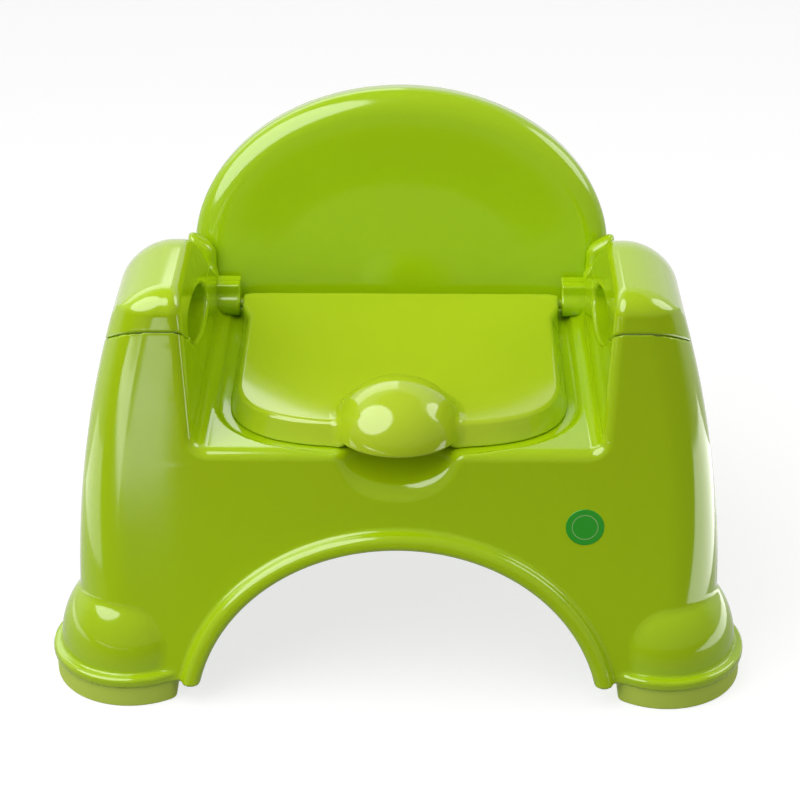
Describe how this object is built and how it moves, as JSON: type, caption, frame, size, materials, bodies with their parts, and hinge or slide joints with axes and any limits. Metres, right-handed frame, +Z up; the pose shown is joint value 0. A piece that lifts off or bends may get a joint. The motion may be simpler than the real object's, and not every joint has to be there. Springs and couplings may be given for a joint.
{
  "type": "potty training chair",
  "caption": "Moulded potty training chair with arms, bell-shaped feet on soft pads, a rounded backrest, a hinged lid with a domed front and a bowl that slides out at the rear.",
  "frame": {"origin": "on the floor, under the middle of the chair", "axes": "+X to the chair's left-right axis, towards the right as seen from the front; +Y from the front to the backrest; +Z up"},
  "size_m": [0.392, 0.29, 0.2724],
  "materials": {
    "body": "gloss",
    "backrest": "gloss",
    "lid": "gloss",
    "bowl": "gloss",
    "pads": "matt",
    "sticker": "satin",
    "screws": "zinc plated"
  },
  "bodies": {
    "base": {"base_shell": "body", "left_arm_cap": "body", "right_arm_cap": "body", "backrest": "backrest", "left_hinge_block": "body", "right_hinge_block": "body", "left_bowl_rail": "body", "right_bowl_rail": "body", "splash_guard": "bowl", "front_left_foot_pad": "pads", "front_right_foot_pad": "pads", "rear_left_foot_pad": "pads", "rear_right_foot_pad": "pads", "front_sticker": "sticker", "arm_cap_screws": "screws", "backrest_screws": "screws", "rail_screws": "screws"},
    "lid": {"lid": "lid", "left_lid_pin": "lid", "right_lid_pin": "lid"},
    "bowl": {"bowl": "bowl"}
  },
  "joints": [
    {"name": "lid_hinge", "type": "hinge", "parent": "base", "child": "lid", "pos_m": [0, 0.061, 0.152], "axis": [-1, 0, 0], "range_deg": [0, 100]},
    {"name": "bowl_slide", "type": "slide", "parent": "base", "child": "bowl", "axis": [0, 1, 0], "range_m": [0, 0.22]}
  ]
}
